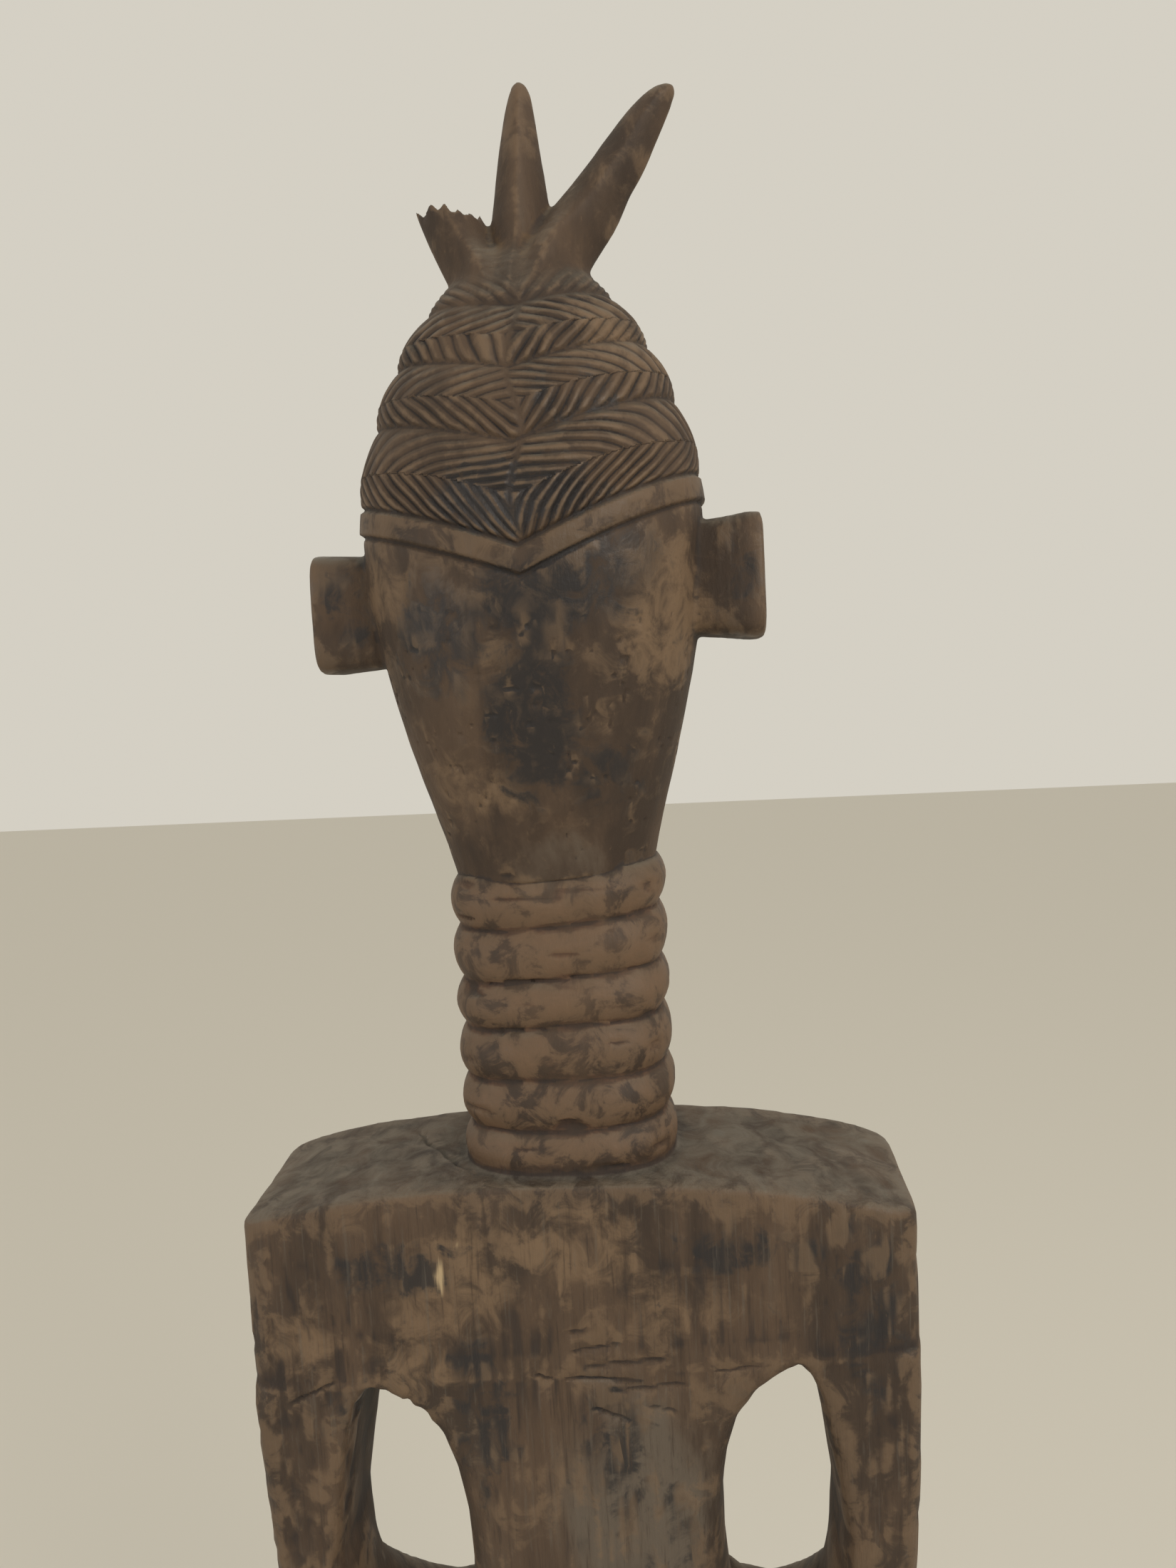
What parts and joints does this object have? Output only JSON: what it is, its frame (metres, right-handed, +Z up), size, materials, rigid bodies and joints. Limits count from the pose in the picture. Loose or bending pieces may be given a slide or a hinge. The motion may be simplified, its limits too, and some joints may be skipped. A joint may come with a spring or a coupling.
{
  "type": "carved female figure",
  "caption": "Tall carved wooden female figure with ringed neck, slab shoulders, block ears, tiered hair and a horned crest with one horn broken, on a low round base",
  "frame": {"origin": "middle of the flat underside of the base", "axes": "+Z up along the figure; it faces -Y, and its left side is +X"},
  "size_m": [0.309, 0.26, 1.311],
  "materials": {
    "carved_wood": "old dark brown carved wood, soot-black patches over brown and ochre, worn and dusty, fine vertical grain on the back"
  },
  "bodies": {
    "root": {"carved_figure": "carved_wood"}
  },
  "joints": []
}
